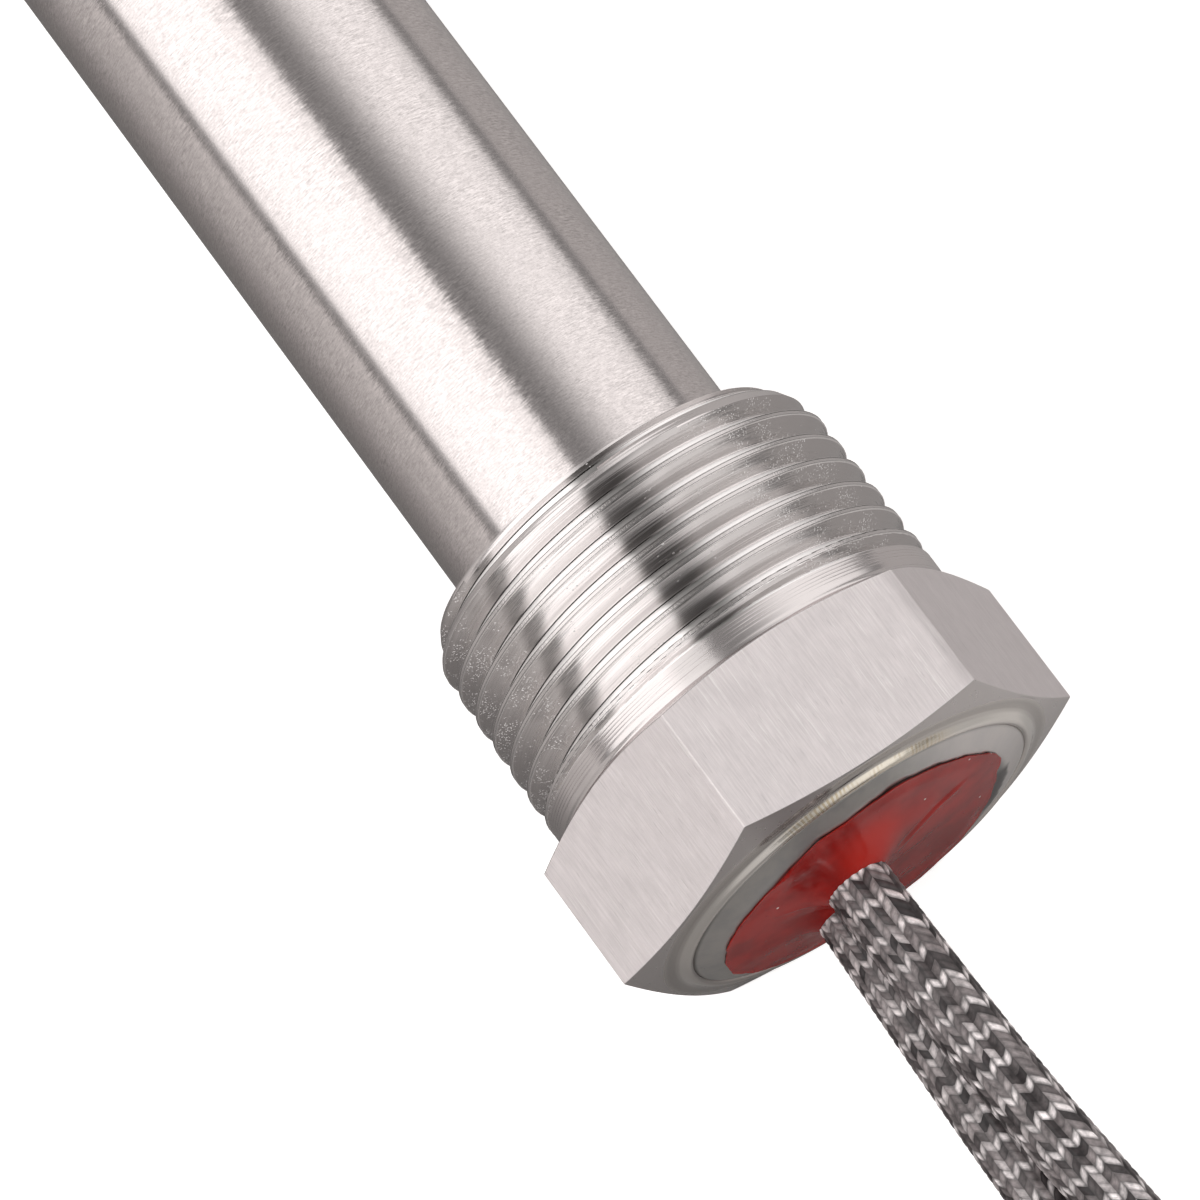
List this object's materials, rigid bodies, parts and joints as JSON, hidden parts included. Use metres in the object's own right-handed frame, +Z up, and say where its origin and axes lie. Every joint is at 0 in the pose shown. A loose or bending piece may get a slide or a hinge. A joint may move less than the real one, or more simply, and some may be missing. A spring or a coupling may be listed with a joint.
{
  "type": "cartridge heater",
  "caption": "Cartridge heater: straight stainless sheath, hexagonal fitting with taper pipe thread welded at the lead end, red silicone seal and braided leads folded and tied.",
  "frame": {"origin": "under the middle of the heater's length, on the surface that it lies on; the leads and what is on them are left out", "axes": "+X along the heater from its closed tip to its lead end, +Z up; the heater's own axis dips 1.5 degrees towards the tip because the tip and one flat of the hexagon touch the surface"},
  "size_m": [0.2867, 0.041, 0.027],
  "materials": {
    "sheath": "satin drawn stainless steel with fine lengthwise grain",
    "fitting": "turned and milled stainless steel, bright thread, fine scratches on the flats",
    "weld": "smooth weld bead with a light golden heat tint",
    "ceramic": "unglazed magnesia",
    "magnesia": "compacted magnesia powder",
    "winding": "oxidised resistance wire",
    "nickel": "drawn nickel",
    "glass_sleeve": "woven glass sleeving",
    "strands": "tinned stranded conductor",
    "red_seal": "glossy translucent red silicone",
    "lead_braid": "black, grey and white glass-fibre braid, varnished",
    "collar": "shrunk black sleeve",
    "terminal": "tinned sheet metal",
    "tie": "natural nylon"
  },
  "bodies": {
    "root": {"sheath_tube": "sheath", "tip_weld": "sheath", "end_cap": "sheath", "hex_fitting": "fitting", "fitting_weld": "weld", "tip_spacer": "ceramic", "ceramic_core_1": "ceramic", "ceramic_core_2": "ceramic", "ceramic_core_3": "ceramic", "ceramic_core_4": "ceramic", "head_bush": "ceramic", "resistance_winding": "winding", "magnesia_fill": "magnesia", "head_cement": "magnesia", "terminal_pin_a": "nickel", "terminal_pin_b": "nickel", "crimp_a": "nickel", "crimp_b": "nickel", "crimp_sleeve_a": "glass_sleeve", "crimp_sleeve_b": "glass_sleeve", "lead_a_strands_head": "strands", "lead_b_strands_head": "strands", "lead_a_strands_end": "strands", "lead_b_strands_end": "strands", "silicone_seal": "red_seal", "lead_a": "lead_braid", "lead_b": "lead_braid", "collar_a": "collar", "collar_b": "collar", "ring_terminal_a": "terminal", "ring_terminal_b": "terminal", "hank_tie": "tie"}
  },
  "joints": []
}
